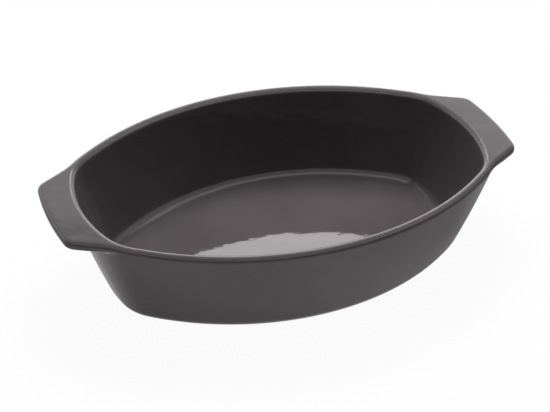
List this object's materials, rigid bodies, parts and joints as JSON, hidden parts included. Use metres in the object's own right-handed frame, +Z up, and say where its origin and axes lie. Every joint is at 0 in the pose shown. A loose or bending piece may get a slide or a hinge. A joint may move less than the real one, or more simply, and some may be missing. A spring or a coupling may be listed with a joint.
{
  "type": "oval baking dish",
  "caption": "Deep oval oven dish of dark glazed stoneware with flared walls, a rounded rim, flat lug handles and a bare foot ring.",
  "frame": {"origin": "on the table under the middle of the dish, in the plane of the foot ring's standing face", "axes": "+X along the length towards one lug, +Y across the width, +Z up"},
  "size_m": [0.35, 0.2262, 0.078],
  "materials": {
    "bare_stoneware": "unglazed buff stoneware, matt and slightly gritty",
    "inside_glaze": "smooth glossy charcoal glaze",
    "outside_glaze": "smooth glossy charcoal glaze, slightly wavy",
    "underside_glaze": "thin charcoal glaze inside the foot ring"
  },
  "bodies": {
    "root": {"stoneware_body": "bare_stoneware", "inside_glaze": "inside_glaze", "outside_glaze": "outside_glaze", "underside_glaze": "underside_glaze"}
  },
  "joints": []
}
